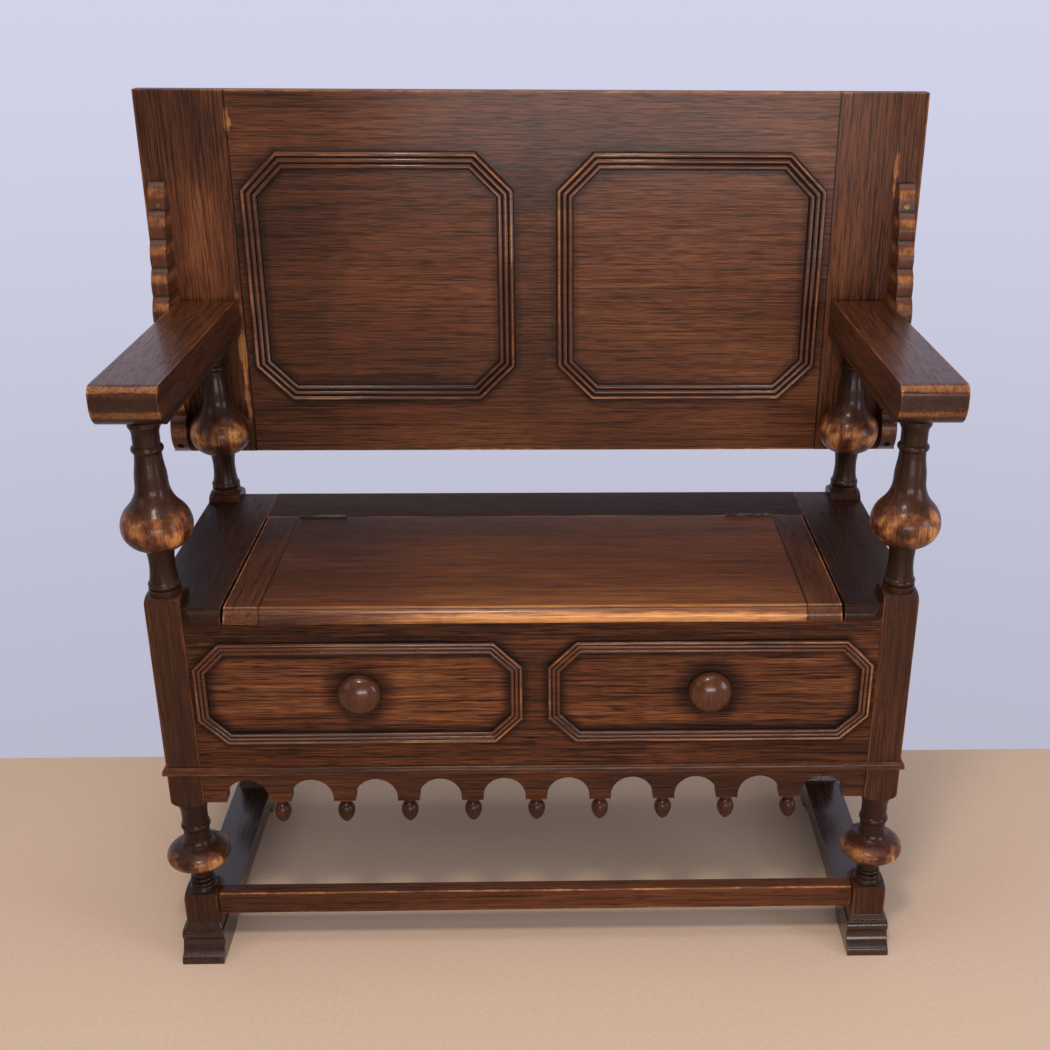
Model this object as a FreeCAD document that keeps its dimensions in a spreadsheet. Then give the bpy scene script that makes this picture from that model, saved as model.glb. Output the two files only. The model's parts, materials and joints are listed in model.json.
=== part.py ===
"""Oak settle bench with a storage seat and a back that tips forward to make a table.

Millimetres, +Z up, +X to the sitter's left as seen from the front, +Y to the rear.
The origin is on the floor under the middle of the bench's overall box.
"""
import FreeCAD, Part
import math
import os
import re

import Sketcher

Vector = FreeCAD.Vector

SIZES = {
    # Whole bench
    "overall_depth": 447.0,
    # Feet and legs
    "foot_width": 56.0,
    "foot_height": 52.5,
    "foot_cap_height": 8.0,
    "foot_cap_slope": 20.0,
    "foot_overhang": 44.0,
    "foot_pad_length": 70.0,
    "foot_relief_height": 16.0,
    "foot_toe_height": 5.0,
    "foot_toe_slope": 2.5,
    "foot_sweep_low": 10.0,
    "foot_sweep_setback": 15.6,
    "foot_sweep_high": 30.0,
    "foot_ledge_height": 2.5,
    "foot_ledge_setback": 17.7,
    "foot_ovolo_setback": 15.3,
    "foot_ovolo_centre": 21.8,
    "post_square": 43.5,
    "post_overhang": 82.0,
    "post_setback": 25.25,
    "lower_block_height": 45.5,
    "leg_turning_length": 140.0,
    "block_below_box": 51.0,
    "block_above_seat": 10.0,
    "arm_turning_length": 220.5,
    "shoulder_height": 11.5,
    "shoulder_radius": 19.5,
    "tenon_radius": 11.0,
    "tenon_length": 25.0,
    "tenon_clearance": 0.05,
    "mortise_spare": 2.0,
    # Turned profile above the seat
    "collar_height": 7.0,
    "collar_groove_radius": 17.5,
    "ring_radius": 19.0,
    "lower_ring_radius": 19.7,
    "ring_height": 9.0,
    "waist_radius": 15.3,
    "upper_bulb_radius": 42.6,
    "upper_bulb_rise": 89.0,
    "upper_bulb_depth": 29.5,
    "bulb_foot_radius": 19.0,
    "upper_bulb_crown": 55.0,
    "upper_bulb_share": 0.45,
    "stem_radius": 19.5,
    "stem_share": 0.5,
    "neck_radius": 15.9,
    "neck_ring_drop": 34.5,
    "head_radius": 19.5,
    "head_height": 6.0,
    "head_cove": 11.0,
    # Turned profile of the legs
    "leg_cove_height": 20.0,
    "leg_ring_drop": 39.5,
    "leg_neck_radius": 16.8,
    "leg_neck_rise": 28.0,
    "leg_bulb_radius": 41.5,
    "leg_bulb_rise": 55.5,
    "leg_bulb_depth": 16.5,
    "leg_bulb_edge_depth": 8.4,
    "leg_bulb_edge_width": 3.9,
    "leg_crown_radius": 22.0,
    "leg_waist_radius": 13.0,
    "leg_flare_height": 6.0,
    "leg_flare_radius": 15.0,
    "leg_bead_height": 6.5,
    "leg_lower_bead_radius": 17.0,
    "leg_upper_bead_radius": 15.5,
    # Arms
    "arm_width": 79.0,
    "arm_shift": 8.0,
    "arm_thickness": 52.0,
    "arm_nose": 40.0,
    "arm_nose_round": 12.0,
    "arm_throat_round": 29.0,
    # Box
    "box_height": 220.0,
    "board_thickness": 20.0,
    "back_board_thickness": 18.0,
    "bottom_board_thickness": 12.0,
    "batten_height": 12.0,
    "batten_width": 20.0,
    "moulding_height": 10.0,
    "moulding_proud": 5.0,
    # Apron and drops
    "apron_height": 46.0,
    "apron_thickness": 20.0,
    "apron_setback": 3.5,
    "arch_count": 10,
    "arch_end": 55.15,
    "arch_radius": 27.5,
    "arch_straight": 6.0,
    "drop_radius": 11.2,
    "drop_neck_radius": 5.5,
    "drop_collar_radius": 8.0,
    "drop_collar_height": 4.0,
    "drop_neck_height": 3.0,
    "drop_shoulder_height": 11.0,
    "drop_tip_height": 20.5,
    "drop_pin_radius": 4.0,
    "drop_pin_length": 14.0,
    # Stretchers
    "stretcher_rise": 4.5,
    "stretcher_height": 33.5,
    "stretcher_thickness": 20.5,
    # Seat and lid
    "seat_thickness": 21.0,
    "seat_nose": 13.0,
    "seat_rear_overhang": 1.0,
    "lid_end_inset": 52.75,
    "lid_side_gap": 3.0,
    "lid_rest_gap": 0.3,
    "lid_cleat_width": 43.0,
    "lid_depth": 290.0,
    "nose_step_depth": 2.5,
    "nose_flat_setback": 8.5,
    "nose_step_width": 1.5,
    "nose_round": 4.0,
    "nose_lip_height": 2.0,
    # Lid hinges
    "hinge_end_inset": 77.0,
    "hinge_length": 65.0,
    "hinge_leaf_height": 17.0,
    "hinge_leaf_thickness": 1.5,
    "hinge_leaf_gap": 0.3,
    "hinge_joint_gap": 1.0,
    "hinge_barrel_radius": 2.75,
    "hinge_axis_rise": 0.5,
    "hinge_pin_radius": 1.5,
    "hinge_pin_clearance": 0.05,
    "hinge_knuckle_gap": 0.3,
    "hinge_recess_clearance": 0.35,
    "hinge_screw_radius": 1.75,
    "hinge_screw_head_radius": 3.2,
    "hinge_screw_length": 14.0,
    "hinge_screw_spread": 20.0,
    # Raised octagons on the box front
    "front_octagon_side_gap": 5.15,
    "front_octagon_middle_gap": 15.4,
    "front_octagon_top_gap": 29.3,
    "front_octagon_bottom_gap": 46.3,
    "front_octagon_corner": 35.0,
    "rib_bulge": 0.13,
    "front_octagon_mould_width": 16.0,
    "front_octagon_mould_height": 6.0,
    # Knobs
    "knob_radius": 27.5,
    "knob_depth": 22.0,
    "knob_base_radius": 23.0,
    "knob_base_depth": 1.0,
    "knob_rim_depth": 4.0,
    "knob_crown_radius": 22.5,
    "knob_crown_depth": 14.2,
    "knob_spigot_radius": 6.0,
    "knob_spigot_length": 14.0,
    # Tipping back
    "panel_width": 1067.0,
    "panel_height": 510.0,
    "panel_thickness": 22.0,
    "panel_drop": 229.0,
    "panel_seam_rise": 166.5,
    "cleat_width": 120.0,
    "back_octagon_side_gap": 10.3,
    "back_octagon_middle_gap": 29.2,
    "back_octagon_top_gap": 78.7,
    "back_octagon_bottom_gap": 78.7,
    "back_octagon_corner": 51.0,
    "back_octagon_mould_width": 24.0,
    "back_octagon_mould_height": 8.0,
    # Bearers and pivot pegs
    "bearer_gap": 2.0,
    "bearer_thickness": 22.0,
    "bearer_bottom_rise": 7.0,
    "bearer_toe_height": 61.0,
    "bearer_toe_depth": 8.0,
    "bearer_toe_centre": 11.5,
    "bearer_cusp_depth": 60.0,
    "bearer_lower_lobe": 34.5,
    "bearer_lower_step": 6.5,
    "bearer_upper_lobe": 37.0,
    "bearer_upper_step": 9.5,
    "bearer_lobe_centre": 27.0,
    "bearer_flat_height": 16.0,
    "bearer_flat_depth": 19.0,
    "bearer_nose_height": 21.0,
    "bearer_nose_depth": 9.0,
    "pivot_drop": 22.0,
    "peg_radius": 8.0,
    "peg_depth": 40.0,
    "peg_clearance": 0.05,
    "peg_proud": 3.0,
    "peg_end_round": 1.5,
    "slot_clearance": 0.3,
    "slide_travel": 128.0,
    "arm_panel_gap": 0.3,
    "screw_radius": 2.2,
    "screw_head_radius": 4.2,
    "screw_head_depth": 18.0,
    "screw_head_height": 2.5,
    "screw_length": 32.0,
}

doc = FreeCAD.newDocument("SettleBench")
sheet = doc.addObject("Spreadsheet::Sheet", "Sizes")
for row, (alias, value) in enumerate(SIZES.items(), start=1):
    sheet.set(f"A{row}", alias)
    sheet.set(f"B{row}", str(value))
    sheet.setAlias(f"B{row}", alias)
doc.recompute()

# Levels and lines that several pieces share, all worked out from the sheet
LEG_BOTTOM = "(foot_height + lower_block_height)"
LEG_TOP = f"({LEG_BOTTOM} + leg_turning_length)"
BOX_BOTTOM = f"({LEG_TOP} + block_below_box)"
SEAT_UNDER = f"({BOX_BOTTOM} + box_height)"
SEAT_TOP = f"({SEAT_UNDER} + seat_thickness)"
BLOCK_TOP = f"({SEAT_TOP} + block_above_seat)"
ARM_UNDER = f"({BLOCK_TOP} + arm_turning_length)"
ARM_TOP = f"({ARM_UNDER} + arm_thickness)"
FRONT_AXIS = "(foot_overhang - overall_depth / 2)"
PANEL_FACE = "(overall_depth / 2 - panel_thickness)"
REAR_AXIS = f"({PANEL_FACE} - post_setback - post_square / 2)"
BOX_FRONT = f"({FRONT_AXIS} - post_square / 2)"
BOX_REAR = f"({REAR_AXIS} + post_square / 2)"
POST_OFFSET = "(panel_width / 2 - post_overhang)"
POST_INSIDE = f"({POST_OFFSET} - post_square / 2)"
POST_OUTSIDE = f"({POST_OFFSET} + post_square / 2)"
PANEL_BOTTOM = f"({ARM_TOP} - panel_drop)"
PANEL_TOP = f"({PANEL_BOTTOM} + panel_height)"
ARM_OFFSET = f"({POST_OFFSET} + arm_shift)"
ARM_OUTSIDE = f"({ARM_OFFSET} + arm_width / 2)"
BEARER_INSIDE = f"({ARM_OUTSIDE} + bearer_gap)"
PIVOT_HEIGHT = f"({ARM_TOP} - pivot_drop)"
PIVOT_DEPTH = f"({PANEL_FACE} - arm_panel_gap - pivot_drop)"
NOSE_FRONT = f"({BOX_FRONT} - seat_nose)"
LID_REAR = f"({NOSE_FRONT} + lid_depth)"
LID_HALF = f"({POST_INSIDE} - lid_end_inset)"
HINGE_OFFSET = f"({LID_HALF} - hinge_end_inset)"
HINGE_LINE = f"({LID_REAR} + hinge_joint_gap / 2)"
HINGE_HEIGHT = f"({SEAT_TOP} + hinge_axis_rise)"
FRONT_FIELD = {
    "left": "front_octagon_middle_gap",
    "right": f"({POST_INSIDE} - front_octagon_side_gap)",
    "low": f"({BOX_BOTTOM} + front_octagon_bottom_gap)",
    "high": f"({SEAT_UNDER} - front_octagon_top_gap)",
}
BACK_FIELD = {
    "left": "back_octagon_middle_gap",
    "right": "(panel_width / 2 - cleat_width - back_octagon_side_gap)",
    "low": f"({PANEL_BOTTOM} + back_octagon_bottom_gap)",
    "high": f"({PANEL_TOP} - back_octagon_top_gap)",
}
ARCH_SPACING = f"(2 * ({POST_INSIDE} - arch_end) / (arch_count - 1))"
BACK_BOARD_REAR = f"({REAR_AXIS} + back_board_thickness / 2)"
SEAT_REAR = f"({BACK_BOARD_REAR} + seat_rear_overhang)"
BACK_BOARD_FRONT = f"({REAR_AXIS} - back_board_thickness / 2)"


def bound(text):
    """Turn the sheet's words in an expression into references to its cells."""
    return re.sub(r"[a-z][a-z_]*", lambda word: swap(word.group(0)), text)


def swap(word):
    return f"Sizes.{word}" if word in SIZES else word


def number(text):
    """Value of an expression on the sheet's words."""
    value = sheet.evalExpression(bound(text))
    return float(getattr(value, "Value", value))


def tie(target, field, text):
    target.setExpression(field, bound(text))


def negative(text):
    return f"(0 - {text})"


def piece(name):
    """A body whose label names its file."""
    body = doc.addObject("PartDesign::Body", name)
    body.Label = name
    return body


def plane_of(body, role):
    return next(item for item in body.Origin.OriginFeatures if item.Role == role)


def to(x, y):
    """A straight side of an outline, ending at this corner."""
    return {"x": x, "y": y}


def arc(x, y, level=None, upright=None, turn=0):
    """An arc ending at this corner, its centre at a given y (level) or x (upright)."""
    return {"x": x, "y": y, "level": level, "upright": upright, "turn": turn}


def wave(start, end, share):
    """An S of two arcs that leave both ends along the axis and meet part of the way."""
    middle_x = f"({start[0]} + ({end[0]} - {start[0]}) * {share})"
    middle_y = f"({start[1]} + ({end[1]} - {start[1]}) * {share})"
    return [arc(middle_x, middle_y, level=start[1]), arc(end[0], end[1], level=end[1])]


def rectangle(left, right, low, high):
    return [to(left, low), to(right, low), to(right, high), to(left, high)]


def octagon(middle_x, middle_y, half_width, half_height, corner):
    """Eight corners with 45 degree cuts."""
    signs = [(1, 0, -1, 1), (1, 0, 1, 1), (1, 1, 1, 0), (-1, 1, 1, 0)]
    signs += [(-1, 0, 1, 1), (-1, 0, -1, 1), (-1, 1, -1, 0), (1, 1, -1, 0)]
    corners = []
    for side_x, cut_x, side_y, cut_y in signs:
        x = f"({middle_x} + {side_x} * ({half_width} - {cut_x} * {corner}))"
        y = f"({middle_y} + {side_y} * ({half_height} - {cut_y} * {corner}))"
        corners.append(to(x, y))
    return corners


def circle_centre(start, end, corner):
    """Centre of an arc from its ends and the one coordinate that is given."""
    middle = ((start[0] + end[0]) / 2, (start[1] + end[1]) / 2)
    along = (end[0] - start[0], end[1] - start[1])
    if corner["level"] is not None:
        y = number(corner["level"])
        return middle[0] - (y - middle[1]) * along[1] / along[0], y
    x = number(corner["upright"])
    return x, middle[1] - (x - middle[0]) * along[0] / along[1]


def draw(sketch, loops):
    """Draw closed outlines and tie every corner to the sheet."""
    rules = []
    ties = []

    def rule(field, text, *where):
        rules.append(Sketcher.Constraint(*where, number(text)))
        ties.append((len(rules) - 1, field, text))

    for loop in loops:
        places = [(number(corner["x"]), number(corner["y"])) for corner in loop]
        ends = []
        for index, corner in enumerate(loop):
            start = places[index - 1]
            end = places[index]
            if "level" not in corner:
                line = Part.LineSegment(Vector(*start, 0), Vector(*end, 0))
                ends.append((sketch.addGeometry(line), 1, 2, corner))
                continue
            x, y = circle_centre(start, end, corner)
            radius = math.dist((x, y), start)
            first = math.atan2(start[1] - y, start[0] - x)
            last = math.atan2(end[1] - y, end[0] - x)
            turn = corner["turn"] or (1 if math.sin(last - first) > 0 else -1)
            if turn < 0:
                first, last = last, first
            if last <= first:
                last += 2 * math.pi
            ring = Part.Circle(Vector(x, y, 0), Vector(0, 0, 1), radius)
            shape = sketch.addGeometry(Part.ArcOfCircle(ring, first, last))
            ends.append((shape, 1, 2, corner) if turn > 0 else (shape, 2, 1, corner))
        for index, (shape, begin, finish, corner) in enumerate(ends):
            following = ends[(index + 1) % len(ends)]
            rules.append(Sketcher.Constraint("Coincident", shape, finish, following[0], following[1]))
            rule("x", corner["x"], "DistanceX", -1, 1, shape, finish)
            rule("y", corner["y"], "DistanceY", -1, 1, shape, finish)
            if corner.get("level") is not None:
                rule("level", corner["level"], "DistanceY", -1, 1, shape, 3)
            if corner.get("upright") is not None:
                rule("upright", corner["upright"], "DistanceX", -1, 1, shape, 3)
    sketch.addConstraint(rules)
    for place, field, text in ties:
        name = f"{field}_{place}"
        sketch.renameConstraint(place, name)
        tie(sketch, f"Constraints.{name}", text)


def sketch_on(body, role, loops, offset="0"):
    """A sketch on one of the body's own planes, moved along the plane's normal."""
    sketch = body.newObject("Sketcher::SketchObject", f"{body.Name}_sketch")
    sketch.AttachmentSupport = [(plane_of(body, role), "")]
    sketch.MapMode = "FlatFace"
    tie(sketch, ".AttachmentOffset.Base.z", offset)
    draw(sketch, loops)
    return sketch


def pad(body, role, loops, start, length):
    """Raise an outline along its plane's normal from a start to a length."""
    feature = body.newObject("PartDesign::Pad", f"{body.Name}_pad")
    feature.Profile = sketch_on(body, role, loops, start)
    tie(feature, "Length", length)
    return feature


def cut(body, role, loops, start, length):
    """Cut an outline out of the body, along the plane's normal from a start."""
    feature = body.newObject("PartDesign::Pocket", f"{body.Name}_cut")
    feature.Profile = sketch_on(body, role, loops, start)
    feature.Reversed = True
    tie(feature, "Length", length)
    return feature


def turned(body, role, loops, kind="PartDesign::Revolution", offset="0"):
    """Turn an outline about the sketch's own upright axis."""
    feature = body.newObject(kind, f"{body.Name}_turning")
    feature.Profile = sketch_on(body, role, loops, offset)
    feature.ReferenceAxis = (feature.Profile[0], ["V_Axis"])
    feature.Angle = 360
    return feature


def across(body, loops, rear, depth):
    """Raise an outline in x and z forward from its rear face."""
    return pad(body, "XZ_Plane", loops, negative(rear), depth)


def cut_across(body, loops, rear, depth):
    return cut(body, "XZ_Plane", loops, negative(rear), depth)


def place(body, x="0", y="0", z="0"):
    tie(body, ".Placement.Base.x", x)
    tie(body, ".Placement.Base.y", y)
    tie(body, ".Placement.Base.z", z)


def sided(side, text):
    """The same distance to the left or to the right of the middle."""
    return f"({side} * {text})"


SIDES = {"left": -1, "right": 1}


def circle(x, y, radius):
    left = f"({x} - {radius})"
    right = f"({x} + {radius})"
    return [arc(left, y, level=y, turn=1), arc(right, y, level=y, turn=1)]


def bead(base, low, high, crest):
    """An arc between two heights at one radius, swelling or drawn in to its crest."""
    swell = f"({crest} - {base})"
    tall = f"(({high}) - ({low}))"
    bend = f"(({tall} * {tall} / 4 + {swell} * {swell}) / (2 * {swell}))"
    return arc(base, high, upright=f"({crest} - {bend})")


def shoulder(level, way):
    """The arched end of a square block, cut away outside a quarter round."""
    inner = f"({level} - {way} * shoulder_height)"
    outer = "(shoulder_radius + shoulder_height)"
    return [
        to("shoulder_radius", level),
        arc(outer, inner, level=inner),
        to("post_square", inner),
        to("post_square", level),
    ]


def leg_outline():
    """Half outline of the turning between the foot block and the box."""
    bulb = f"({LEG_BOTTOM} + leg_bulb_rise)"
    under = f"({bulb} - leg_bulb_depth)"
    over = f"({bulb} + leg_bulb_depth)"
    rim = "(leg_bulb_radius - leg_bulb_edge_width)"
    flare = f"({LEG_BOTTOM} + leg_flare_height)"
    lower_bead = f"({flare} + leg_bead_height)"
    upper_bead = f"({lower_bead} + leg_bead_height)"
    neck = f"({bulb} + leg_neck_rise)"
    ring = f"({LEG_TOP} - leg_ring_drop)"
    ring_low = f"({ring} - ring_height / 2)"
    ring_high = f"({ring} + ring_height / 2)"
    cove = f"({LEG_TOP} - leg_cove_height)"
    lip = f"({LEG_TOP} - head_height)"
    return [
        to("0", LEG_BOTTOM),
        to("shoulder_radius", LEG_BOTTOM),
        arc("leg_flare_radius", flare, level=flare),
        bead("leg_flare_radius", flare, lower_bead, "leg_lower_bead_radius"),
        to("leg_waist_radius", lower_bead),
        bead("leg_waist_radius", lower_bead, upper_bead, "leg_upper_bead_radius"),
        to("leg_waist_radius", under),
        arc(rim, f"({bulb} - leg_bulb_edge_depth)", upright="leg_waist_radius"),
        arc("leg_bulb_radius", bulb, level=bulb),
        arc(rim, f"({bulb} + leg_bulb_edge_depth)", level=bulb),
        arc("leg_crown_radius", over, upright="leg_waist_radius"),
        arc("leg_neck_radius", neck, level=neck),
        to("leg_neck_radius", ring_low),
        bead("leg_neck_radius", ring_low, ring_high, "ring_radius"),
        to("leg_neck_radius", cove),
        arc("shoulder_radius", lip, level=cove),
        to("shoulder_radius", LEG_TOP),
        to("0", LEG_TOP),
    ]


def baluster_outline():
    """Half outline of the turning between the seat and the arm, with its tenon."""
    bulb = f"({BLOCK_TOP} + upper_bulb_rise)"
    under = f"({bulb} - upper_bulb_depth)"
    crown = f"({bulb} + upper_bulb_crown)"
    collar = f"({BLOCK_TOP} + collar_height)"
    ring_top = f"({collar} + ring_height)"
    neck = f"({ARM_UNDER} - neck_ring_drop)"
    neck_low = f"({neck} - ring_height / 2)"
    neck_high = f"({neck} + ring_height / 2)"
    cove = f"({ARM_UNDER} - head_height - head_cove)"
    lip = f"({ARM_UNDER} - head_height)"
    return [
        to("0", BLOCK_TOP),
        to("shoulder_radius", BLOCK_TOP),
        to("shoulder_radius", collar),
        to("collar_groove_radius", collar),
        bead("collar_groove_radius", collar, ring_top, "lower_ring_radius"),
        bead("collar_groove_radius", ring_top, under, "waist_radius"),
        to("bulb_foot_radius", under),
        arc("upper_bulb_radius", bulb, level=bulb),
        *wave(("upper_bulb_radius", bulb), ("stem_radius", crown), "upper_bulb_share"),
        *wave(("stem_radius", crown), ("neck_radius", neck_low), "stem_share"),
        bead("neck_radius", neck_low, neck_high, "ring_radius"),
        to("neck_radius", cove),
        arc("head_radius", lip, level=cove),
        to("head_radius", ARM_UNDER),
        to("tenon_radius", ARM_UNDER),
        to("tenon_radius", f"({ARM_UNDER} + tenon_length)"),
        to("0", f"({ARM_UNDER} + tenon_length)"),
    ]


def post(name, x, y):
    """One upright from the foot to the arm: two square blocks and two turnings."""
    body = piece(name)
    body.AllowCompound = True
    half = "(post_square / 2)"
    square = rectangle(negative(half), half, negative(half), half)
    pad(body, "XY_Plane", [square], "foot_height", "lower_block_height")
    tenon = rectangle("0", "tenon_radius", "(foot_height - tenon_length)", LEG_BOTTOM)
    turned(body, "XZ_Plane", [tenon])
    turned(body, "XZ_Plane", [leg_outline()])
    turned(body, "XZ_Plane", [baluster_outline()])
    pad(body, "XY_Plane", [square], LEG_TOP, f"({BLOCK_TOP} - {LEG_TOP})")
    ends = [shoulder(LEG_BOTTOM, 1), shoulder(LEG_TOP, -1), shoulder(BLOCK_TOP, 1)]
    turned(body, "XZ_Plane", ends, "PartDesign::Groove")
    place(body, x, y)


def foot_end(end, way):
    """Outline of one moulded end of a foot, from its pad up to its ledge."""
    def inward(distance):
        return f"({end} + {way} * {distance})"

    top = "(foot_height - foot_cap_height)"
    ledge = f"({top} - foot_ledge_height)"
    relief = inward("(foot_pad_length + foot_relief_height)")
    return [
        (relief, "foot_relief_height", "level", "foot_relief_height"),
        (inward("foot_pad_length"), "0", "", ""),
        (end, "0", "", ""),
        (end, "foot_toe_height", "", ""),
        (inward("foot_toe_slope"), "foot_sweep_low", "level", "foot_sweep_high"),
        (inward("foot_sweep_setback"), "foot_sweep_high", "upright", inward("foot_ovolo_centre")),
        (inward("foot_ovolo_setback"), ledge, "", ""),
        (inward("foot_ledge_setback"), ledge, "", ""),
        (inward("foot_ledge_setback"), top, "", ""),
    ]


def foot(name, x):
    """A sledge foot, hollowed below, moulded at both ends, with a flared cap under each post."""
    body = piece(name)
    front = foot_end(f"({FRONT_AXIS} - foot_overhang)", 1)
    rear = foot_end(f"({REAR_AXIS} + foot_overhang)", -1)
    loop = [to(front[0][0], front[0][1])]
    for before, corner in zip(front, front[1:]):
        bend = {before[2]: before[3]} if before[2] else {}
        loop.append(arc(corner[0], corner[1], **bend) if bend else to(corner[0], corner[1]))
    loop.append(to(rear[-1][0], rear[-1][1]))
    for corner in reversed(rear[:-1]):
        bend = {corner[2]: corner[3]} if corner[2] else {}
        loop.append(arc(corner[0], corner[1], **bend) if bend else to(corner[0], corner[1]))
    half = "(foot_width / 2)"
    pad(body, "YZ_Plane", [loop], negative(half), "foot_width")
    side = "(post_square / 2)"
    for axis in (FRONT_AXIS, REAR_AXIS):
        square = rectangle(negative(side), side, f"({axis} - {side})", f"({axis} + {side})")
        cap = pad(body, "XY_Plane", [square], "foot_height", "foot_cap_height")
        cap.Reversed = True
        tie(cap, "TaperAngle", "foot_cap_slope")
    bore = "(tenon_radius + tenon_clearance)"
    deep = "(tenon_length + mortise_spare)"
    holes = [circle("0", axis, bore) for axis in (FRONT_AXIS, REAR_AXIS)]
    cut(body, "XY_Plane", holes, f"(foot_height - {deep})", deep)
    place(body, x)


def arm(name, side):
    """An arm with a rounded nose, its rear corner rounded about the pivot."""
    body = piece(name)
    nose = f"({FRONT_AXIS} - arm_nose)"
    rear = f"({PANEL_FACE} - arm_panel_gap)"
    chin = f"({ARM_UNDER} + arm_throat_round)"
    brow = f"({ARM_TOP} - arm_nose_round)"
    outline = [
        to(rear, ARM_UNDER),
        to(rear, PIVOT_HEIGHT),
        arc(PIVOT_DEPTH, ARM_TOP, level=PIVOT_HEIGHT),
        to(f"({nose} + arm_nose_round)", ARM_TOP),
        arc(nose, brow, level=brow),
        to(nose, chin),
        arc(f"({nose} + arm_throat_round)", ARM_UNDER, level=chin),
    ]
    half = "(arm_width / 2)"
    pad(body, "YZ_Plane", [outline], negative(half), "arm_width")
    bore = "(tenon_radius + tenon_clearance)"
    deep = "(tenon_length + mortise_spare)"
    line = sided(side, f"({POST_OFFSET} - {ARM_OFFSET})")
    holes = [circle(line, axis, bore) for axis in (FRONT_AXIS, REAR_AXIS)]
    cut(body, "XY_Plane", holes, ARM_UNDER, deep)
    peg_bore = circle(PIVOT_DEPTH, PIVOT_HEIGHT, "(peg_radius + peg_clearance)")
    start = f"({half} - peg_depth)" if side > 0 else negative(half)
    cut(body, "YZ_Plane", [peg_bore], start, "peg_depth")
    place(body, sided(side, ARM_OFFSET))


def peg(name, side):
    """A pivot peg from inside the arm out through the bearer's slot."""
    body = piece(name)
    inner = f"({ARM_OUTSIDE} - peg_depth + mortise_spare)"
    outer = f"({BEARER_INSIDE} + bearer_thickness + peg_proud)"
    tip = f"({outer} - peg_end_round)"
    small = "(peg_radius - peg_end_round)"
    outline = [
        to("0", inner),
        to("peg_radius", inner),
        to("peg_radius", tip),
        arc(small, outer, level=tip),
        to("0", outer),
    ]
    turned(body, "XZ_Plane", [outline])
    tie(body, ".Placement.Base.y", PIVOT_DEPTH)
    tie(body, ".Placement.Base.z", PIVOT_HEIGHT)
    body.Placement.Rotation = FreeCAD.Rotation(Vector(0, 1, 0), 90 * side)


def bearer_outline():
    """A scalloped bracket, its lobes growing towards the pivot from both ends."""
    def forward(depth):
        return f"({PANEL_FACE} - ({depth}))"

    low = f"({PANEL_BOTTOM} + bearer_bottom_rise)"
    level = f"({low} + bearer_toe_height)"
    depth = "(bearer_cusp_depth - 4 * bearer_lower_step)"
    outline = [
        to(PANEL_FACE, low),
        to(forward("bearer_toe_depth"), low),
        arc(forward(depth), level, upright=forward("bearer_toe_centre")),
    ]
    steps = [("bearer_lower_lobe", "bearer_lower_step")] * 4
    steps += [("bearer_upper_lobe", negative("bearer_upper_step"))] * 4
    for tall, grow in steps:
        middle = f"({depth} + {grow} / 2 - bearer_lobe_centre)"
        level = f"({level} + {tall})"
        depth = f"({depth} + {grow})"
        outline.append(arc(forward(depth), level, upright=forward(middle)))
    top = f"({level} + bearer_flat_height)"
    crest = f"({top} + bearer_nose_height)"
    outline += [
        to(forward("bearer_flat_depth"), level),
        to(forward("bearer_flat_depth"), top),
        arc(forward("bearer_nose_depth"), crest, level=top),
        to(PANEL_FACE, crest),
    ]
    return outline, top


def bearer(name, side):
    """A bearer screwed to the back, slotted so that the back slides on its peg."""
    body = piece(name)
    half = "(bearer_thickness / 2)"
    outline, _ = bearer_outline()
    pad(body, "YZ_Plane", [outline], negative(half), "bearer_thickness")
    wide = "(peg_radius + slot_clearance)"
    low = f"({PIVOT_HEIGHT} - slide_travel)"
    front = f"({PIVOT_DEPTH} - {wide})"
    rear = f"({PIVOT_DEPTH} + {wide})"
    slot = [
        arc(rear, low, level=low, turn=1),
        to(rear, PIVOT_HEIGHT),
        arc(front, PIVOT_HEIGHT, level=PIVOT_HEIGHT, turn=1),
        to(front, low),
    ]
    cut(body, "YZ_Plane", [slot], negative(half), "bearer_thickness")
    bore_screws(body, "0")
    place(body, sided(side, f"({BEARER_INSIDE} + {half})"))


def screw_levels():
    """Heights of the two screws that hold a bearer, and how deep each head sits."""
    _, top = bearer_outline()
    upper = f"({top} - bearer_flat_height / 2)"
    lower = f"({PANEL_BOTTOM} + bearer_bottom_rise + bearer_toe_height / 4)"
    return [upper, lower]


def bore_screws(body, x):
    """Screw holes with counterbores, drilled through to the back from in front."""
    for level in screw_levels():
        rear = f"({PANEL_FACE} - screw_head_depth + screw_length)"
        shank = circle(x, level, "(screw_radius + tenon_clearance)")
        cut_across(body, [shank], rear, "screw_length")
        head = circle(x, level, "(screw_head_radius + tenon_clearance)")
        cut_across(body, [head], f"({PANEL_FACE} - screw_head_depth)", "bearer_cusp_depth")


def board(name, loops, rear, depth):
    body = piece(name)
    across(body, loops, rear, depth)
    return body


def ribbed(width, height, edge):
    """Section of the three-ribbed moulding, outer edge first, standing forward."""
    valley = f"({height} - {width} * rib_bulge)"
    bend = f"({width} * (1 / 36 + rib_bulge * rib_bulge) / (2 * rib_bulge))"
    centre = f"({bend} - {height})"
    section = [to(edge, "0"), to(edge, negative(valley))]
    for rib in (1, 2, 3):
        x = f"({edge} - {width} * {rib} / 3)"
        section.append(arc(x, negative(valley), level=centre))
    section.append(to(f"({edge} - {width})", "0"))
    return section


def centre_of(field):
    """Middle of a framed field, and half its width and height."""
    middle_x = f"(({field['left']} + {field['right']}) / 2)"
    middle_z = f"(({field['low']} + {field['high']}) / 2)"
    half_width = f"(({field['right']} - {field['left']}) / 2)"
    half_height = f"(({field['high']} - {field['low']}) / 2)"
    return middle_x, middle_z, half_width, half_height


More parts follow.
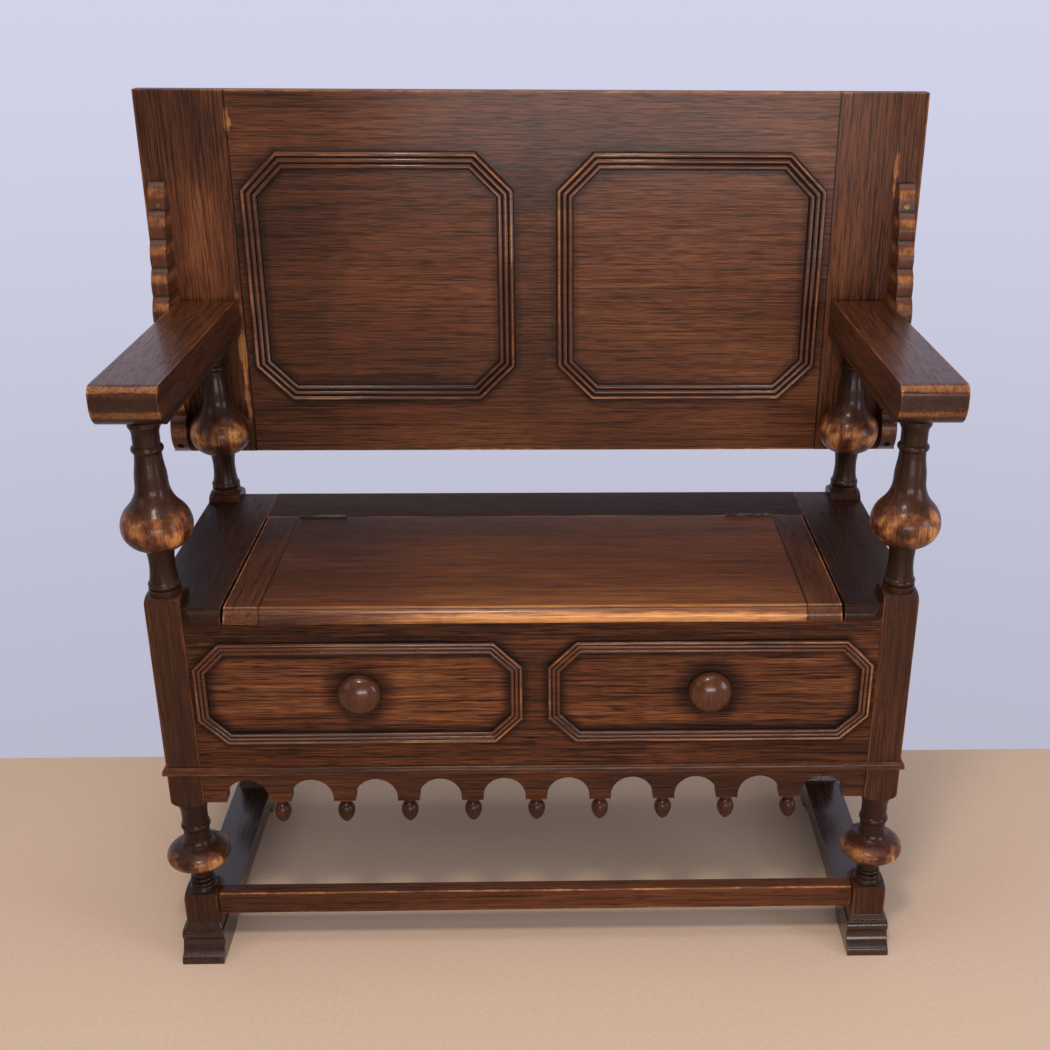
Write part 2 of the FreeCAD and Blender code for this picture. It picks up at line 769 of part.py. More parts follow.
def octagon_frame(name, kind, field, side, face):
    """A ribbed moulding mitred round an octagon."""
    body = piece(name)
    middle_x, middle_z, half_width, half_height = centre_of(field)
    outer = octagon("0", "0", half_width, half_height, f"{kind}_octagon_corner")
    spine = sketch_on(body, "XZ_Plane", [outer])
    width = f"{kind}_octagon_mould_width"
    section = sketch_on(body, "XY_Plane", [ribbed(width, f"{kind}_octagon_mould_height", half_width)])
    doc.recompute()
    sweep = body.newObject("PartDesign::AdditivePipe", f"{name}_sweep")
    sweep.Profile = section
    sweep.Spine = (spine, [f"Edge{index + 1}" for index in range(len(outer))])
    sweep.Transition = "Right corner"
    place(body, sided(side, middle_x), face, middle_z)


def knob(name, side):
    """A domed knob, flattened against the box, its spigot in the box front."""
    body = piece(name)
    rim = negative("knob_rim_depth")
    outline = [
        to("0", "knob_spigot_length"),
        to("knob_spigot_radius", "knob_spigot_length"),
        to("knob_spigot_radius", "0"),
        to("knob_base_radius", "0"),
        to("knob_base_radius", negative("knob_base_depth")),
        arc("knob_radius", rim, level=rim),
        arc("knob_crown_radius", negative("knob_crown_depth"), level=rim),
        arc("0", negative("knob_depth"), upright="0"),
    ]
    turned(body, "XY_Plane", [outline])
    middle_x, middle_z, _, _ = centre_of(FRONT_FIELD)
    place(body, sided(side, middle_x), BOX_FRONT, middle_z)


def drops():
    """Nine turned drops under the apron, pinned up into it."""
    body = piece("apron_drops")
    body.AllowCompound = True
    neck = "(0 - drop_collar_height)"
    shoulder_top = "(0 - drop_collar_height - drop_neck_height)"
    widest = f"({shoulder_top} - drop_shoulder_height)"
    outline = [
        to("0", "drop_pin_length"),
        to("drop_pin_radius", "drop_pin_length"),
        to("drop_pin_radius", "0"),
        to("drop_collar_radius", "0"),
        to("drop_collar_radius", neck),
        to("drop_neck_radius", neck),
        to("drop_neck_radius", shoulder_top),
        arc("drop_radius", widest, level=widest),
        arc("0", f"({widest} - drop_tip_height)", level=widest),
    ]
    turning = turned(body, "XZ_Plane", [outline])
    pattern = body.newObject("PartDesign::LinearPattern", "apron_drops_row")
    pattern.Originals = [turning]
    pattern.Direction = (plane_of(body, "X_Axis"), [""])
    pattern.Occurrences = int(number("arch_count")) - 1
    tie(pattern, "Length", f"({ARCH_SPACING} * (arch_count - 2))")
    body.Tip = pattern
    first = f"(0 - {ARCH_SPACING} * (arch_count - 2) / 2)"
    place(body, first, APRON_MIDDLE, APRON_BOTTOM)


APRON_BOTTOM = f"({BOX_BOTTOM} - apron_height)"
APRON_FRONT = f"({BOX_FRONT} + apron_setback)"
APRON_REAR = f"({APRON_FRONT} + apron_thickness)"
APRON_MIDDLE = f"({APRON_FRONT} + apron_thickness / 2)"


def apron():
    """The rail under the box front, arched between its drops."""
    spring = f"({APRON_BOTTOM} + arch_straight)"
    outline = [to(negative(POST_INSIDE), BOX_BOTTOM), to(negative(POST_INSIDE), APRON_BOTTOM)]
    for index in range(int(number("arch_count"))):
        middle = f"({ARCH_SPACING} * ({index} - (arch_count - 1) / 2))"
        left = f"({middle} - arch_radius)"
        right = f"({middle} + arch_radius)"
        outline += [
            to(left, APRON_BOTTOM),
            to(left, spring),
            arc(right, spring, level=spring, turn=-1),
            to(right, APRON_BOTTOM),
        ]
    outline += [to(POST_INSIDE, APRON_BOTTOM), to(POST_INSIDE, BOX_BOTTOM)]
    body = board("apron", [outline], APRON_REAR, "apron_thickness")
    pins = []
    for index in range(int(number("arch_count")) - 1):
        middle = f"({ARCH_SPACING} * ({index} - (arch_count - 2) / 2))"
        pins.append(circle(middle, APRON_MIDDLE, "(drop_pin_radius + tenon_clearance)"))
    cut(body, "XY_Plane", pins, APRON_BOTTOM, "(drop_pin_length + tenon_clearance)")


def nosed(rear, under):
    """Section of a seat board, moulded along its front edge."""
    flat = f"({NOSE_FRONT} + nose_flat_setback)"
    step = f"({SEAT_TOP} - nose_step_depth)"
    lip = f"({SEAT_UNDER} + nose_round + nose_lip_height)"
    return [
        to(rear, under),
        to(rear, SEAT_TOP),
        to(flat, SEAT_TOP),
        to(flat, step),
        to(f"({flat} - nose_step_width)", step),
        arc(NOSE_FRONT, lip, level=lip),
        to(NOSE_FRONT, f"({under} + nose_round)"),
        arc(f"({NOSE_FRONT} + nose_round)", under, level=f"({under} + nose_round)"),
    ]


def seat_board(name, left, right, rear, under):
    body = piece(name)
    pad(body, "YZ_Plane", [nosed(rear, under)], left, f"({right} - {left})")
    return body


def seat_end(name, side):
    """A fixed end of the seat, notched round both posts."""
    inner = f"({LID_HALF} + lid_side_gap)"
    spans = (inner, POST_OUTSIDE) if side > 0 else (negative(POST_OUTSIDE), negative(inner))
    body = seat_board(name, *spans, SEAT_REAR, SEAT_UNDER)
    far = f"({POST_OUTSIDE} + post_square)"
    ahead = f"({NOSE_FRONT} - seat_nose)"
    behind = f"({BOX_REAR} + post_square)"
    front = [
        to(sided(side, f"({POST_INSIDE} - 2 * seat_nose)"), ahead),
        to(sided(side, POST_INSIDE), BOX_FRONT),
        to(sided(side, POST_INSIDE), f"({FRONT_AXIS} + post_square / 2)"),
        to(sided(side, far), f"({FRONT_AXIS} + post_square / 2)"),
        to(sided(side, far), ahead),
    ]
    rear = rectangle(
        sided(side, POST_INSIDE), sided(side, far), f"({REAR_AXIS} - post_square / 2)", behind
    )
    deep = "seat_thickness"
    cut(body, "XY_Plane", [front, rear], SEAT_UNDER, deep)


def lid():
    """The lid: a field between two cleats, hinged at the rear."""
    under = f"({SEAT_UNDER} + lid_rest_gap)"
    inner = f"({LID_HALF} - lid_cleat_width)"
    field = seat_board("lid_field", negative(inner), inner, LID_REAR, under)
    seat_board("lid_cleat_left", negative(LID_HALF), negative(inner), LID_REAR, under)
    seat_board("lid_cleat_right", inner, LID_HALF, LID_REAR, under)
    return field


def hinge_cuts(body, way):
    """Recesses for both hinges in the lid's rear edge or the rail's front edge."""
    wide = "(hinge_barrel_radius + hinge_recess_clearance)"
    outer = "(hinge_leaf_gap / 2 + hinge_leaf_thickness)"
    for side in SIDES.values():
        left = f"({side} * {HINGE_OFFSET} - hinge_length / 2)"
        right = f"({side} * {HINGE_OFFSET} + hinge_length / 2)"
        leaf = rectangle(left, right, f"({HINGE_HEIGHT} - hinge_leaf_height)", HINGE_HEIGHT)
        rear = f"({HINGE_LINE} + {outer})" if way > 0 else HINGE_LINE
        cut_across(body, [leaf], rear, outer)
        barrel = rectangle(left, right, f"({HINGE_HEIGHT} - {wide})", HINGE_HEIGHT)
        rear = f"({HINGE_LINE} + {wide})" if way > 0 else HINGE_LINE
        cut_across(body, [barrel], rear, wide)
        for step in (-1, 0, 1):
            x = f"({side} * {HINGE_OFFSET} + {step} * hinge_screw_spread)"
            bore = circle(x, HINGE_SCREW_HEIGHT, "(hinge_screw_radius + tenon_clearance)")
            deep = "(hinge_screw_length + hinge_leaf_gap / 2)"
            rear = f"({HINGE_LINE} + {deep})" if way > 0 else HINGE_LINE
            cut_across(body, [bore], rear, deep)


HINGE_SCREW_HEIGHT = f"({HINGE_HEIGHT} - hinge_leaf_height * 2 / 3)"


def hinge_leaf(name, side, way):
    """A butt hinge leaf: the rail's has two knuckles, the lid's has one between."""
    body = piece(name)
    half = "(hinge_length / 2)"
    third = "(hinge_length / 6)"
    low = f"({HINGE_HEIGHT} - hinge_leaf_height)"
    notch = f"({HINGE_HEIGHT} - hinge_barrel_radius - hinge_knuckle_gap)"
    gap = "(hinge_knuckle_gap / 2)"
    if way > 0:
        inner = f"({third} + {gap})"
        outline = [
            to(negative(half), low),
            to(half, low),
            to(half, HINGE_HEIGHT),
            to(inner, HINGE_HEIGHT),
            to(inner, notch),
            to(negative(inner), notch),
            to(negative(inner), HINGE_HEIGHT),
            to(negative(half), HINGE_HEIGHT),
        ]
        spans = [(negative(half), negative(inner)), (inner, half)]
    else:
        inner = f"({third} - {gap})"
        outline = [
            to(negative(half), low),
            to(half, low),
            to(half, notch),
            to(inner, notch),
            to(inner, HINGE_HEIGHT),
            to(negative(inner), HINGE_HEIGHT),
            to(negative(inner), notch),
            to(negative(half), notch),
        ]
        spans = [(negative(inner), inner)]
    near = "(hinge_leaf_gap / 2)"
    rear = f"({HINGE_LINE} + {near} + hinge_leaf_thickness)" if way > 0 else f"({HINGE_LINE} - {near})"
    across(body, [outline], rear, "hinge_leaf_thickness")
    for left, right in spans:
        barrel = circle(HINGE_LINE, HINGE_HEIGHT, "hinge_barrel_radius")
        pad(body, "YZ_Plane", [barrel], left, f"({right} - {left})")
    bore = circle(HINGE_LINE, HINGE_HEIGHT, "(hinge_pin_radius + hinge_pin_clearance)")
    cut(body, "YZ_Plane", [bore], negative(half), "hinge_length")
    sink = "(hinge_screw_head_radius + tenon_clearance)"
    heads = [circle(f"({step} * hinge_screw_spread)", HINGE_SCREW_HEIGHT, sink) for step in (-1, 0, 1)]
    cut_across(body, heads, rear, "hinge_leaf_thickness")
    place(body, sided(side, HINGE_OFFSET))


def hinge_screws(name, way):
    """Six screws through the leaves into the wood on one side of the hinge line."""
    body = piece(name)
    body.AllowCompound = True
    near = "(hinge_leaf_gap / 2)"
    for side in SIDES.values():
        for step in (-1, 0, 1):
            x = f"({side} * {HINGE_OFFSET} + {step} * hinge_screw_spread)"
            head = circle(x, HINGE_SCREW_HEIGHT, "hinge_screw_head_radius")
            shank = circle(x, HINGE_SCREW_HEIGHT, "hinge_screw_radius")
            if way > 0:
                across(body, [head], f"({HINGE_LINE} + {near} + hinge_leaf_thickness)", "hinge_leaf_thickness")
                across(body, [shank], f"({HINGE_LINE} + {near} + hinge_screw_length)", "hinge_screw_length")
            else:
                across(body, [head], f"({HINGE_LINE} - {near})", "hinge_leaf_thickness")
                across(body, [shank], f"({HINGE_LINE} - {near})", "hinge_screw_length")


def hinge_pin(name, side):
    body = piece(name)
    pin = circle(HINGE_LINE, HINGE_HEIGHT, "hinge_pin_radius")
    pad(body, "YZ_Plane", [pin], "(0 - hinge_length / 2)", "hinge_length")
    place(body, sided(side, HINGE_OFFSET))


def bearer_screws():
    """Four screws that hold the bearers to the back."""
    body = piece("bearer_screws")
    body.AllowCompound = True
    for side in SIDES.values():
        x = sided(side, f"({BEARER_INSIDE} + bearer_thickness / 2)")
        for level in screw_levels():
            face = f"({PANEL_FACE} - screw_head_depth)"
            across(body, [circle(x, level, "screw_radius")], f"({face} + screw_length)", "screw_length")
            across(body, [circle(x, level, "screw_head_radius")], face, "screw_head_height")


def box():
    """The storage box: front, back, ends, bottom and the mouldings round its foot."""
    inside_front = f"({BOX_FRONT} + board_thickness)"
    inside_end = f"({POST_OUTSIDE} - board_thickness)"
    wide = rectangle(negative(POST_INSIDE), POST_INSIDE, BOX_BOTTOM, SEAT_UNDER)
    front = board("box_front", [wide], inside_front, "board_thickness")
    middle_x, middle_z, _, _ = centre_of(FRONT_FIELD)
    bores = []
    for side in SIDES.values():
        x = sided(side, middle_x)
        bores.append(circle(x, middle_z, "(knob_spigot_radius + tenon_clearance)"))
    deep = "(knob_spigot_length + tenon_clearance)"
    cut_across(front, bores, f"({BOX_FRONT} + {deep})", deep)
    board("box_back", [wide], BACK_BOARD_REAR, "back_board_thickness")
    for word, side in SIDES.items():
        end = piece(f"box_end_{word}")
        front_edge = f"({FRONT_AXIS} + post_square / 2)"
        rear_edge = f"({REAR_AXIS} - post_square / 2)"
        outline = rectangle(front_edge, rear_edge, BOX_BOTTOM, SEAT_UNDER)
        start = inside_end if side > 0 else negative(POST_OUTSIDE)
        pad(end, "YZ_Plane", [outline], start, "board_thickness")
    floor = piece("box_bottom")
    outline = []
    corners = [(-1, inside_front, FRONT_AXIS, 1), (1, inside_front, FRONT_AXIS, 1)]
    corners += [(1, BACK_BOARD_FRONT, REAR_AXIS, -1), (-1, BACK_BOARD_FRONT, REAR_AXIS, -1)]
    for index, (side, edge, axis, way) in enumerate(corners):
        notch = [
            to(sided(side, inside_end), f"({axis} + {way} * post_square / 2)"),
            to(sided(side, POST_INSIDE), f"({axis} + {way} * post_square / 2)"),
            to(sided(side, POST_INSIDE), edge),
        ]
        outline += notch if index % 2 == 0 else notch[::-1]
    pad(floor, "XY_Plane", [outline], f"({BOX_BOTTOM} + batten_height)", "bottom_board_thickness")
    long = rectangle(negative(POST_INSIDE), POST_INSIDE, BOX_BOTTOM, f"({BOX_BOTTOM} + batten_height)")
    board("batten_front", [long], f"({inside_front} + batten_width)", "batten_width")
    board("batten_rear", [long], BACK_BOARD_FRONT, "batten_width")


def moulding_section(edge, way):
    """Small base moulding: a fillet over a quarter round, standing out from the box."""
    proud = f"({edge} + {way} * moulding_proud)"
    shy = f"({edge} + {way} * moulding_proud / 3)"
    top = f"({BOX_BOTTOM} + moulding_height)"
    return [
        to(edge, BOX_BOTTOM),
        to(proud, BOX_BOTTOM),
        to(proud, f"({BOX_BOTTOM} + moulding_height / 3)"),
        arc(shy, top, level=f"({BOX_BOTTOM} + moulding_height / 3)"),
        to(edge, top),
    ]


def mouldings():
    """The base moulding across the front and back along both ends, mitred."""
    far = f"({POST_OUTSIDE} + moulding_proud)"
    front = piece("base_moulding_front")
    pad(front, "YZ_Plane", [moulding_section(BOX_FRONT, -1)], negative(far), f"(2 * {far})")
    ahead = f"({BOX_FRONT} - moulding_proud)"
    corners = []
    for side in SIDES.values():
        corners.append([
            to(sided(side, POST_OUTSIDE), BOX_FRONT),
            to(sided(side, f"({far} + moulding_proud)"), f"({ahead} - moulding_proud)"),
            to(sided(side, f"({far} + moulding_proud)"), BOX_FRONT),
        ])
    cut(front, "XY_Plane", corners, BOX_BOTTOM, "moulding_height")
    for word, side in SIDES.items():
        end = piece(f"base_moulding_{word}")
        section = moulding_section(POST_OUTSIDE, 1)
        for corner in section:
            for key in ("x", "upright"):
                if corner.get(key) is not None:
                    corner[key] = sided(side, corner[key])
        across(end, [section], BOX_REAR, f"({BOX_REAR} - {ahead})")
        mitre = [
            to(sided(side, POST_OUTSIDE), BOX_FRONT),
            to(sided(side, f"({far} + moulding_proud)"), f"({ahead} - moulding_proud)"),
            to(sided(side, f"({POST_OUTSIDE} - moulding_proud)"), f"({ahead} - moulding_proud)"),
            to(sided(side, f"({POST_OUTSIDE} - moulding_proud)"), BOX_FRONT),
        ]
        cut(end, "XY_Plane", [mitre], BOX_BOTTOM, "moulding_height")


def tipping_back():
    """The back: two boards between upright cleats, bearing two octagon frames."""
    inner = "(panel_width / 2 - cleat_width)"
    outer = "(panel_width / 2)"
    rear = f"({PANEL_FACE} + panel_thickness)"
    seam = f"({PANEL_BOTTOM} + panel_seam_rise)"
    upper = rectangle(negative(inner), inner, seam, PANEL_TOP)
    lower = rectangle(negative(inner), inner, PANEL_BOTTOM, seam)
    board("back_board_upper", [upper], rear, "panel_thickness")
    board("back_board_lower", [lower], rear, "panel_thickness")
    for word, side in SIDES.items():
        outline = rectangle(sided(side, inner), sided(side, outer), PANEL_BOTTOM, PANEL_TOP)
        cleat = board(f"back_cleat_{word}", [outline], rear, "panel_thickness")
        bore_screws(cleat, sided(side, f"({BEARER_INSIDE} + bearer_thickness / 2)"))
        octagon_frame(f"back_octagon_{word}", "back", BACK_FIELD, side, PANEL_FACE)
        bearer(f"bearer_{word}", side)
        peg(f"pivot_peg_{word}", side)
    bearer_screws()


def frame():
    """Feet, posts, stretchers and arms."""
    for word, side in SIDES.items():
        x = sided(side, POST_OFFSET)
        foot(f"foot_{word}", x)
        post(f"front_post_{word}", x, FRONT_AXIS)
        post(f"rear_post_{word}", x, REAR_AXIS)
        arm(f"arm_{word}", side)
    low = "(foot_height + stretcher_rise)"
    outline = rectangle(negative(POST_INSIDE), POST_INSIDE, low, f"({low} + stretcher_height)")
    for word, axis in (("front", FRONT_AXIS), ("rear", REAR_AXIS)):
        board(f"stretcher_{word}", [outline], f"({axis} + stretcher_thickness / 2)", "stretcher_thickness")


def seat():
    """The seat: fixed ends and rear rail, the lid and its hinges."""
    for word, side in SIDES.items():
        seat_end(f"seat_end_{word}", side)
        octagon_frame(f"front_octagon_{word}", "front", FRONT_FIELD, side, BOX_FRONT)
        knob(f"knob_{word}", side)
        hinge_leaf(f"hinge_leaf_rail_{word}", side, 1)
        hinge_leaf(f"hinge_leaf_lid_{word}", side, -1)
        hinge_pin(f"hinge_pin_{word}", side)
    inner = f"({LID_HALF} + lid_side_gap)"
    rail = piece("seat_rear_rail")
    outline = rectangle(f"({HINGE_LINE} + hinge_joint_gap / 2)", SEAT_REAR, SEAT_UNDER, SEAT_TOP)
    pad(rail, "YZ_Plane", [outline], negative(inner), f"(2 * {inner})")
    hinge_cuts(rail, 1)
    hinge_cuts(lid(), -1)
    hinge_screws("hinge_screws_rail", 1)
    hinge_screws("hinge_screws_lid", -1)


def write():
    """Check every object, then write each piece to its own file."""
    doc.recompute()
    for item in doc.Objects:
        if "Invalid" in item.State or "Error" in item.State:
            raise RuntimeError(f"{item.Name} failed: {item.State}")
    os.makedirs("parts", exist_ok=True)
    for item in doc.Objects:
        if item.TypeId != "PartDesign::Body":
            continue
        shape = item.Shape
        if shape.isNull() or not shape.isValid():
            raise RuntimeError(f"{item.Label} has no valid solid")
        shape.exportStep(f"parts/{item.Label}.step")
        print(item.Label, len(shape.Solids), round(shape.Volume))


frame()
box()
apron()
drops()
mouldings()
seat()
tipping_back()
write()
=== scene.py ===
"""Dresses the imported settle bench: worn edges, waxed oak, brass, floor, light and camera."""

import json
import math

import bpy
from mathutils import Matrix, Vector


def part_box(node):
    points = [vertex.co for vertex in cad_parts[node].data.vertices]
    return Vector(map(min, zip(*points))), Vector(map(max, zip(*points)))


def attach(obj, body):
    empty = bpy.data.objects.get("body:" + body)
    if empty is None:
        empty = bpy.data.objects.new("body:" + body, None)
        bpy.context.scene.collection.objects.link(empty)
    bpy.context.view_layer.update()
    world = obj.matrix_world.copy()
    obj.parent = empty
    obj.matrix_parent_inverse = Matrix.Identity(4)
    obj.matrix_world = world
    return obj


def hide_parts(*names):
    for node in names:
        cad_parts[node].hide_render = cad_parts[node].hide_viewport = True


bl_info = {
    "name": "Oak Settle Bench",
    "version": (1, 0, 0),
    "blender": (4, 5, 0),
    "location": "3D View > Sidebar > Settle",
    "description": "Dresses a settle bench whose back tips forward to make a table",
    "category": "Object",
}

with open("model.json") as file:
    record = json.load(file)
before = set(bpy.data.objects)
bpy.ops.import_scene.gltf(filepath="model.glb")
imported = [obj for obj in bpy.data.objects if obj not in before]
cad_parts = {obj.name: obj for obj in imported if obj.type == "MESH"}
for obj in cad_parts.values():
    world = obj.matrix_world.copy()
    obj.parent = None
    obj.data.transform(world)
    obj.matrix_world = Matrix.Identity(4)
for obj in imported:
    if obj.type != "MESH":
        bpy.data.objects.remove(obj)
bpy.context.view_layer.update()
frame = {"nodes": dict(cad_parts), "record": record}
NODES = frame["nodes"]
BODIES = frame["record"]["behaviour"]["bodies"]
BODY_OF = {node: body for body, nodes in BODIES.items() for node in nodes}
BOTH = ("left", "right")

# The moulded octagons, in metres: the cut of a corner and the width of the moulding.
OCTAGONS = {"front": (0.035, 0.016), "back": (0.051, 0.024)}
POST_HALF = 0.02175
LOBE_PITCH = 0.037
LOBES_FROM_TOP = 0.037

# Features of the oak in one metre: along the grain, then across it.
CLOUDS = (2.2, 7.0)
STREAKS = (3.6, 105.0)
FIBRES = (16.0, 900.0)
PORES = (36.0, 1000.0)
LINES = (8.0, 330.0)

# How far each feature moves the tone between stain (0) and bare oak (1).
CLOUD_TONE = 0.38
STREAK_TONE = 0.28
FIBRE_TONE = 0.34
PORE_TONE = 0.13
LINE_TONE = 0.15
BASE_TONE = 0.03
GRAIN_RELIEF = 0.00020
SHEEN = (1.0, 0.76, 0.68, 1.0)
COAT_ROUGHNESS = 0.18

# The camera of the photograph: place in metres, turns in degrees, shift in frame widths.
CAMERA_PLACE = (0.02207, -1.65200, 1.25892)
CAMERA_YAW = 1.679
CAMERA_DOWN = 22.882
CAMERA_ROLL = 0.419
CAMERA_SHIFT = (-0.0600, -0.0084)
SENSOR = 36.0

FLOOR_MIDDLE = (0, -2.2, 0)
FLOOR_SIZE = (9.0, 4.97, 1.0)


class SettleLooks(bpy.types.PropertyGroup):
    """Sizes and colours that a user of the bench would change."""
    arris: bpy.props.FloatProperty(
        name="Arris", description="Width worn off the edges of boards",
        default=0.0016, min=0.0, max=0.005, subtype="DISTANCE", unit="LENGTH")
    stain: bpy.props.FloatVectorProperty(
        name="Stain", description="Darkest stain, in corners and pores",
        default=(0.0050, 0.0024, 0.0018), subtype="COLOR", size=3, min=0, max=1)
    heart: bpy.props.FloatVectorProperty(
        name="Heart", description="Middle tone of the polished oak",
        default=(0.086, 0.0255, 0.0098), subtype="COLOR", size=3, min=0, max=1)
    bare: bpy.props.FloatVectorProperty(
        name="Bare", description="Worn oak where the stain has gone",
        default=(0.46, 0.19, 0.058), subtype="COLOR", size=3, min=0, max=1)
    brass: bpy.props.FloatVectorProperty(
        name="Brass", description="Screws of the bearers",
        default=(0.22, 0.14, 0.065), subtype="COLOR", size=3, min=0, max=1)
    iron: bpy.props.FloatVectorProperty(
        name="Iron", description="Hinges, dark with age",
        default=(0.055, 0.045, 0.04), subtype="COLOR", size=3, min=0, max=1)
    floor: bpy.props.FloatVectorProperty(
        name="Floor", description="Plain pale floor",
        default=(0.53, 0.372, 0.28), subtype="COLOR", size=3, min=0, max=1)
    wall: bpy.props.FloatVectorProperty(
        name="Background", description="Pale colour behind the bench",
        default=(0.655, 0.66, 0.82), subtype="COLOR", size=3, min=0, max=1)
    lens: bpy.props.FloatProperty(
        name="Lens", description="Focal length of the camera on a 36 mm sensor",
        default=45.43, min=10.0, max=200.0, subtype="DISTANCE_CAMERA")


def looks():
    return bpy.context.scene.settle_looks


class Term:
    """One value in a material's maths: expressions on it add Math nodes."""

    def __init__(self, finish, socket):
        self.finish = finish
        self.socket = socket

    def join(self, operation, *inputs):
        node = self.finish.node("ShaderNodeMath", {"operation": operation}, dict(enumerate(inputs)))
        return Term(self.finish, node.outputs[0])

    def __add__(self, other):
        return self.join("ADD", self, other)

    def __sub__(self, other):
        return self.join("SUBTRACT", self, other)

    def __mul__(self, other):
        return self.join("MULTIPLY", self, other)

    def __truediv__(self, other):
        return self.join("DIVIDE", self, other)

    def __pow__(self, other):
        return self.join("POWER", self, other)

    def __radd__(self, other):
        return self.join("ADD", other, self)

    def __rsub__(self, other):
        return self.join("SUBTRACT", other, self)

    def __rmul__(self, other):
        return self.join("MULTIPLY", other, self)

    def __abs__(self):
        return self.join("ABSOLUTE", self)

    def fraction(self):
        return self.join("FRACT", self)

    def least(self, other):
        return self.join("MINIMUM", self, other)

    def most(self, other):
        return self.join("MAXIMUM", self, other)

    def step(self, low, high):
        """Rises smoothly from 0 at low to 1 at high, and falls where high is below low."""
        if high < low:
            return 1 - self.step(high, low)
        settings = {"interpolation_type": "SMOOTHSTEP"}
        inputs = {"Value": self, "From Min": low, "From Max": high}
        node = self.finish.node("ShaderNodeMapRange", settings, inputs)
        return Term(self.finish, node.outputs["Result"])


class Finish:
    """The nodes of a material or of the world, under construction."""

    def __init__(self, block, output="ShaderNodeOutputMaterial", place="Object"):
        self.block = block
        block.use_nodes = True
        self.tree = block.node_tree
        self.tree.nodes.clear()
        self.out = self.tree.nodes.new(output)
        self.place = self.node("ShaderNodeTexCoord").outputs[place]

    def node(self, kind, settings=None, inputs=None):
        """Adds a node: its settings first, then the values or links of its sockets."""
        node = self.tree.nodes.new(kind)
        for key, value in (settings or {}).items():
            if key == "stops":
                self.set_stops(node.color_ramp, value)
            else:
                setattr(node, key, value)
        for key, value in (inputs or {}).items():
            socket = node.inputs[key]
            if isinstance(value, Term):
                value = value.socket
            if isinstance(value, bpy.types.NodeSocket):
                self.tree.links.new(value, socket)
            else:
                socket.default_value = value
        return node

    @staticmethod
    def set_stops(ramp, stops):
        while len(ramp.elements) < len(stops):
            ramp.elements.new(0.5)
        for element, (position, colour) in zip(ramp.elements, stops):
            element.position = position
            element.color = (*colour, 1)

    def axes(self):
        split = self.node("ShaderNodeSeparateXYZ", None, {0: self.place})
        return [Term(self, socket) for socket in split.outputs]

    def noise(self, scale, shift=(0, 0, 0), detail=2.0, rough=0.5, bend=0.0):
        """Noise with its own scale along each axis, about 0 to 1 with a middle of 0.5."""
        inputs = {"Vector": self.place, "Location": shift, "Scale": scale}
        stretched = self.node("ShaderNodeMapping", None, inputs).outputs[0]
        inputs = {
            "Vector": stretched,
            "Scale": 1.0,
            "Detail": detail,
            "Roughness": rough,
            "Distortion": bend,
        }
        node = self.node("ShaderNodeTexNoise", {"noise_dimensions": "3D"}, inputs)
        return Term(self, node.outputs[0])

    def ramp(self, value, stops):
        node = self.node("ShaderNodeValToRGB", {"stops": stops}, {"Fac": value})
        return node.outputs["Color"]

    def mix(self, share, first, second):
        node = self.node("ShaderNodeMix", {"data_type": "RGBA"}, {"Factor": share, 6: first, 7: second})
        return node.outputs[2]

    def surface(self, inputs, height=None, relief=0.0003):
        if height is not None:
            bump = {"Height": height, "Strength": 1.0, "Distance": relief}
            inputs["Normal"] = self.node("ShaderNodeBump", None, bump).outputs[0]
        shader = self.node("ShaderNodeBsdfPrincipled", None, inputs)
        self.tree.links.new(shader.outputs[0], self.out.inputs[0])
        return self.block


def blended(first, second, share):
    return tuple(a + (b - a) * share for a, b in zip(first, second))


def oak(name, along, seed=0, tone=0.5, gloss=0.5, grain=1.0, layers=()):
    """Stained and waxed oak, its grain along one axis; each layer lightens or darkens it in places."""
    finish = Finish(bpy.data.materials.new(name))
    axis = "xyz".index(along)
    shift = (seed * 1.37 % 7, seed * 2.11 % 5, seed * 0.73 % 9)

    def scale(feature):
        long, wide = feature
        return tuple(long if index == axis else wide for index in range(3))

    cloud = finish.noise(scale(CLOUDS), shift, detail=3.0)
    streak = finish.noise(scale(STREAKS), shift, detail=3.0, rough=0.6, bend=0.25)
    fibre = finish.noise(scale(FIBRES), shift, detail=2.0, rough=0.65)
    pores = finish.noise(scale(PORES), shift, detail=0.0).step(0.56, 0.68)
    lines = finish.noise(scale(LINES), shift, detail=2.0, rough=0.6, bend=0.1).step(0.50, 0.66)
    level = tone + BASE_TONE + (cloud - 0.5) * CLOUD_TONE
    figure = (streak - 0.5) * STREAK_TONE + (fibre - 0.5) * FIBRE_TONE
    level = level + (figure - pores * PORE_TONE - lines * LINE_TONE) * grain
    for layer in layers:
        level = level + layer(finish)
    look = looks()
    heart = tuple(look.heart)
    stops = [
        (0.0, tuple(look.stain)),
        (0.28, blended(look.stain, heart, 0.26)),
        (0.50, heart),
        (0.70, blended(heart, look.bare, 0.26)),
        (1.0, tuple(look.bare)),
    ]
    inputs = {
        "Base Color": finish.ramp(level, stops),
        "Roughness": 0.48 - 0.16 * gloss + (fibre - 0.5) * 0.16 + pores * 0.12,
        "Specular IOR Level": 0.10 + 0.12 * gloss,
        "Specular Tint": SHEEN,
        "Coat Weight": 0.36 * gloss ** 2,
        "Coat Roughness": COAT_ROUGHNESS,
    }
    return finish.surface(inputs, fibre * 0.5 - pores * 0.9 + streak * 0.5, GRAIN_RELIEF)


